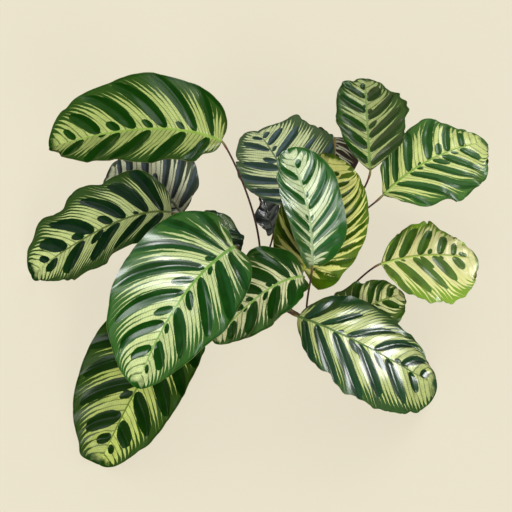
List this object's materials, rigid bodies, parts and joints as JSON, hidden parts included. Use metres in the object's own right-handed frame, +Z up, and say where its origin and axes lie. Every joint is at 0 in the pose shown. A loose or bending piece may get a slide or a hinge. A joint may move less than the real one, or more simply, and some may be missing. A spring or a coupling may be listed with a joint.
{
  "type": "prayer plant",
  "caption": "Peacock-patterned prayer plant, lifted from its soil: broad leaves on wiry stalks from a creeping rootstock.",
  "frame": {"origin": "centre of the main shoot's flat cut underside, on the surface that the plant rests on", "axes": "+Z up, -Y towards the plant's front, +X to its right as seen from the front"},
  "size_m": [0.4994, 0.3807, 0.252],
  "materials": {
    "leaf": "thin glossy leaf: pale yellow-green with dark green blotches and fine veins, purple-brown below",
    "stalk": "satin, dark purple-brown, paler and orange-green just below the leaf",
    "rootstock": "rough brown rhizome with ringed scars, cut flat below"
  },
  "bodies": {
    "root": {"rootstock": "rootstock", "blade_01": "leaf", "blade_02": "leaf", "blade_03": "leaf", "blade_04": "leaf", "blade_05": "leaf", "blade_06": "leaf", "blade_07": "leaf", "blade_08": "leaf", "blade_09": "leaf", "blade_10": "leaf", "blade_11": "leaf", "blade_12": "leaf", "blade_13": "leaf", "blade_14": "leaf", "blade_15": "leaf", "blade_16": "leaf", "blade_17": "leaf", "stalk_01": "stalk", "stalk_02": "stalk", "stalk_03": "stalk", "stalk_04": "stalk", "stalk_05": "stalk", "stalk_06": "stalk", "stalk_07": "stalk", "stalk_08": "stalk", "stalk_09": "stalk", "stalk_10": "stalk", "stalk_11": "stalk", "stalk_12": "stalk", "stalk_13": "stalk", "stalk_14": "stalk", "stalk_15": "stalk", "stalk_16": "stalk", "stalk_17": "stalk"}
  },
  "joints": []
}
